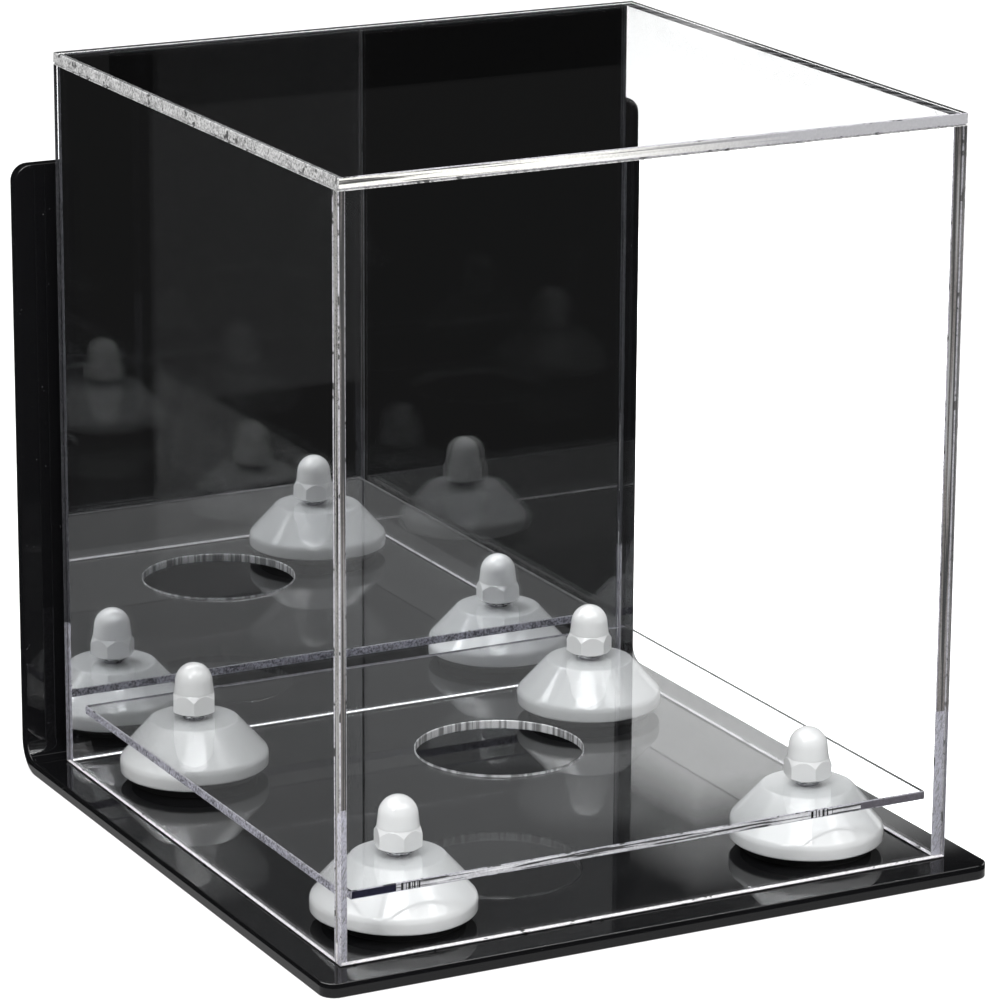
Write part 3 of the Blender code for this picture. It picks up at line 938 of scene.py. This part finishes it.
# Stands: one mesh of each kind, set on the four corners by a geometry node tree
standSet = {
    "steps": 144,
    "riserFootRound": 0.0010,
    "riserSideHeight": 0.0044,
    "riserSideRound": 0.0045,
    "riserShoulder": 0.0212,
    "riserShoulderRound": 0.0020,
    "padRound": 0.0006,
    "washerRound": 0.0002,
    "nutFlats": 0.0185,
    "nutHexHeight": 0.0095,
    "nutTopSlope": 60,
    "nutBottomSlope": 30,
    "nutTopRadius": 0.0090,
    "nutBottomRadius": 0.0084,
    "nutTurns": (17, 6, 18, 41),  # in the order of standPlaces
    "capInset": 0.0001,
    "capTaper": 0.00055,
    "capRound": 0.0088,
    "capSteps": 12,
    "boreDepth": 0.015,
    "sharpAngle": 35,
    "nutSharpAngle": 28,
    "white": (0.72, 0.72, 0.715),
    "whiteDark": 0.975,
    "whiteCloud": 60,
    "whiteRipple": 120,
    "zinc": (0.8, 0.81, 0.83),
    "zincReflectionDark": 0.05,
    "zincGrainAndReflections": 500,
    "rubber": (0.001, 0.004),
    "rubberGrain": 1200,
}


def whiteGloss():
    white, dark = standSet["white"], standSet["whiteDark"]
    tree = newMaterial("white_gloss")
    place = tree.place()
    cloud = tree.noise(place, standSet["whiteCloud"], 2, 0.5)
    ripple = tree.noise(place, standSet["whiteRipple"], 2, 0.5)
    sockets = {
        "Base Color": tree.mix(cloud, solid(white, dark), solid(white)),
        "Roughness": tree.ramp(cloud, (0.3, 0.03), (0.7, 0.05)),
        "IOR": 1.5,
        "Normal": tree.bump(ripple, 0.06, 0.0005),
    }
    return tree.surface(tree.plastic(sockets))


def blackRubber():
    dark, light = standSet["rubber"]
    tree = newMaterial("black_rubber")
    grain = tree.noise(tree.place(), standSet["rubberGrain"], 3, 0.6)
    sockets = {
        "Base Color": tree.mix(grain, gray(dark), gray(light)),
        "Roughness": 0.7,
        "Specular IOR Level": 0.15,
        "Normal": tree.bump(grain, 0.3, 0.0002),
    }
    return tree.surface(tree.plastic(sockets))


def zincSteel():
    tree = newMaterial("zinc_steel")
    grain = tree.noise(tree.stretched(tree.place(), (1, 1, 6)), standSet["zincGrainAndReflections"], 3, 0.6)
    # painted reflections: dark jagged marks in the zinc's colour, from the grain that also sets roughness
    # and bumps
    level = tree.ramp(grain, (0.4, 0.1), (0.6, 0.75))
    sockets = {
        "Base Color": tree.mix(level, gray(standSet["zincReflectionDark"]), solid(standSet["zinc"])),
        "Metallic": 1.0,
        "Roughness": tree.ramp(grain, (0.3, 0.18), (0.7, 0.35)),
        "Normal": tree.bump(grain, 0.2, 0.0001),
    }
    return tree.surface(tree.plastic(sockets))


def riserProfile(radius, height):
    use = standSet
    sideRound, shoulderRound, footRound = (
        use[k] for k in ("riserSideRound", "riserShoulderRound", "riserFootRound")
    )
    side = (radius - sideRound, use["riserSideHeight"])
    foot = (radius - footRound, footRound)
    shoulder = (use["riserShoulder"] - shoulderRound, height - shoulderRound)
    away = (side[0] - shoulder[0], side[1] - shoulder[1])
    turn = math.asin((sideRound - shoulderRound) / math.hypot(*away))
    slope = math.degrees(math.atan2(away[1], away[0]) + turn) + 90
    profile = [(sharedSet["boltHole"], height)]
    profile += arc(shoulder, shoulderRound, 90, slope, 8)
    profile += arc(side, sideRound, slope, 0, 12)
    profile += arc(foot, footRound, 0, -90, 6)
    profile.append((sharedSet["boltHole"], 0))
    return profile


def ringProfile(radius, height, rounding):
    bore = sharedSet["boltHole"]
    profile = arc((radius - rounding, rounding), rounding, -90, 0, 3)
    profile += arc((radius - rounding, height - rounding), rounding, 0, 90, 3)
    return profile + [(bore, height), (bore, 0)]


def capProfile(height):  # from the hexagon's top to the tip
    use = standSet
    inset, steps = use["capInset"], use["capSteps"]
    roundStart = height - use["capRound"]
    wide = use["nutFlats"] / 2 - inset
    tapered = wide - use["capTaper"]
    profile = [(wide, use["nutHexHeight"] + inset), (tapered, roundStart)]
    for i in range(1, steps + 1):
        angle = math.pi / 2 * i / steps
        profile.append((tapered * math.cos(angle), roundStart + use["capRound"] * math.sin(angle)))
    return profile


def nutShape(height):
    use = standSet
    flat, bore, hexTop = use["nutFlats"] / 2, sharedSet["boltHole"], use["nutHexHeight"]
    top, bottom = use["nutTopRadius"], use["nutBottomRadius"]
    steepTop = math.tan(math.radians(use["nutTopSlope"]))
    steepBottom = math.tan(math.radians(use["nutBottomSlope"]))
    cap = capProfile(height)
    shape = bmesh.new()
    rings = []
    steps = use["steps"]
    for i in range(steps):
        angle = math.tau * i / steps
        off = (angle % math.radians(60)) - math.radians(30)
        side = flat / math.cos(off)
        profile = [(bore, use["boreDepth"]), (bore, 0), (bottom, 0)]
        profile.append((side, max(0, (side - bottom) * steepBottom)))
        profile.append((side, hexTop - max(0, (side - top) * steepTop)))
        profile.append((top, hexTop))
        profile += cap
        across, along = math.cos(angle), math.sin(angle)
        rings.append([shape.verts.new((max(r, 0) * across, max(r, 0) * along, z)) for r, z in profile])
    for i, ring in enumerate(rings):
        after = rings[(i + 1) % steps]
        for j in range(len(ring) - 1):
            shape.faces.new((ring[j], after[j], after[j + 1], ring[j + 1]))
    shape.faces.new([ring[0] for ring in rings])
    bmesh.ops.remove_doubles(shape, verts=shape.verts, dist=2e-6)
    bmesh.ops.recalc_face_normals(shape, faces=shape.faces)
    return shape


def standTree():
    group = bpy.data.node_groups.new("on_four_corners", "GeometryNodeTree")
    sockets = {}
    wanted = [("Piece", "NodeSocketGeometry"), ("Across", "NodeSocketFloat"), ("Along", "NodeSocketFloat")]
    wanted += [("Middle", "NodeSocketVector"), ("Material", "NodeSocketMaterial")]
    wanted += [(f"Turn {i}", "NodeSocketFloat") for i in range(4)]
    for name, kind in wanted:
        socket = group.interface.new_socket(name, in_out="INPUT", socket_type=kind)
        sockets[name] = socket.identifier
    group.interface.new_socket("Pieces", in_out="OUTPUT", socket_type="NodeSocketGeometry")
    tree = Tree(group)
    entry = {name: tree.node("NodeGroupInput", output=name) for name, _ in wanted}
    sizes = {"Size X": entry["Across"], "Size Y": entry["Along"], "Vertices X": 2, "Vertices Y": 2}
    grid = tree.node("GeometryNodeMeshGrid", {}, sizes)
    moved = tree.node("GeometryNodeSetPosition", {}, {"Geometry": grid, "Offset": entry["Middle"]})
    which = tree.node("GeometryNodeInputIndex")
    turns = {"Index": which, **{i + 1: entry[f"Turn {i}"] for i in range(4)}}
    turn = tree.node("GeometryNodeIndexSwitch", {"data_type": "FLOAT", "items": 4}, turns)
    spin = tree.node("ShaderNodeCombineXYZ", {}, {"Z": turn})
    places = {"Points": moved, "Instance": entry["Piece"], "Rotation": spin}
    pieces = tree.node("GeometryNodeInstanceOnPoints", {}, places)
    real = tree.node("GeometryNodeRealizeInstances", {}, {"Geometry": pieces})
    painted = tree.node("GeometryNodeSetMaterial", {}, {"Geometry": real, "Material": entry["Material"]})
    out = group.nodes.new("NodeGroupOutput")
    group.links.new(painted.socket, out.inputs[0])
    return group, sockets


def onStands(kind, mesh, material, slot, group, sockets, turned=False):
    obj = helper(kind + "_one", mesh)
    places = standPlaces()
    low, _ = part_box(f"{kind}_front_left")
    first, last = places[0], places[-1]
    spread, middle = last - first, (first + last) / 2
    values = {
        "Across": spread.x,
        "Along": spread.y,
        "Middle": (middle.x, middle.y, low.z),
        "Material": material,
    }
    for i, turn in enumerate(standSet["nutTurns"]):
        values[f"Turn {i}"] = math.radians(turn) if turned else 0.0
    nodes = obj.modifiers.new("corners", "NODES")
    nodes.node_group = group
    for name, value in values.items():
        nodes[sockets[name]] = value
    mesh = baked(obj)
    mesh.name = kind + "s"
    corners = ("front_left", "front_right", "back_left", "back_right")
    addPiece(kind + "s", mesh, "stand", slot, *[f"{kind}_{corner}" for corner in corners])


def makeStands():
    group, sockets = standTree()
    sizes = {}
    for kind in ("pad", "riser", "washer", "cap_nut"):
        low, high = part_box(f"{kind}_front_left")
        sizes[kind] = ((high.x - low.x) / 2, high.z - low.z)
    use = standSet
    white, zinc, steps, sharp = whiteGloss(), zincSteel(), use["steps"], use["sharpAngle"]
    shape = turnedShape(ringProfile(*sizes["pad"], use["padRound"]), steps)
    onStands("pad", finished("pad", shape, (), sharp), blackRubber(), "black_rubber", group, sockets)
    shape = turnedShape(riserProfile(*sizes["riser"]), steps)
    onStands("riser", finished("riser", shape, (), sharp), white, "white_gloss", group, sockets)
    shape = turnedShape(ringProfile(*sizes["washer"], use["washerRound"]), steps)
    onStands("washer", finished("washer", shape, (), sharp), zinc, "zinc_steel", group, sockets)
    mesh = finished("cap_nut", nutShape(sizes["cap_nut"][1]), (), use["nutSharpAngle"])
    onStands("cap_nut", mesh, white, "white_gloss", group, sockets, True)
    for name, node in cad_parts.items():
        if name.startswith("bolt_"):
            node.data.materials.clear()
            node.data.materials.append(zinc)


makeStands()
print("stands ready")
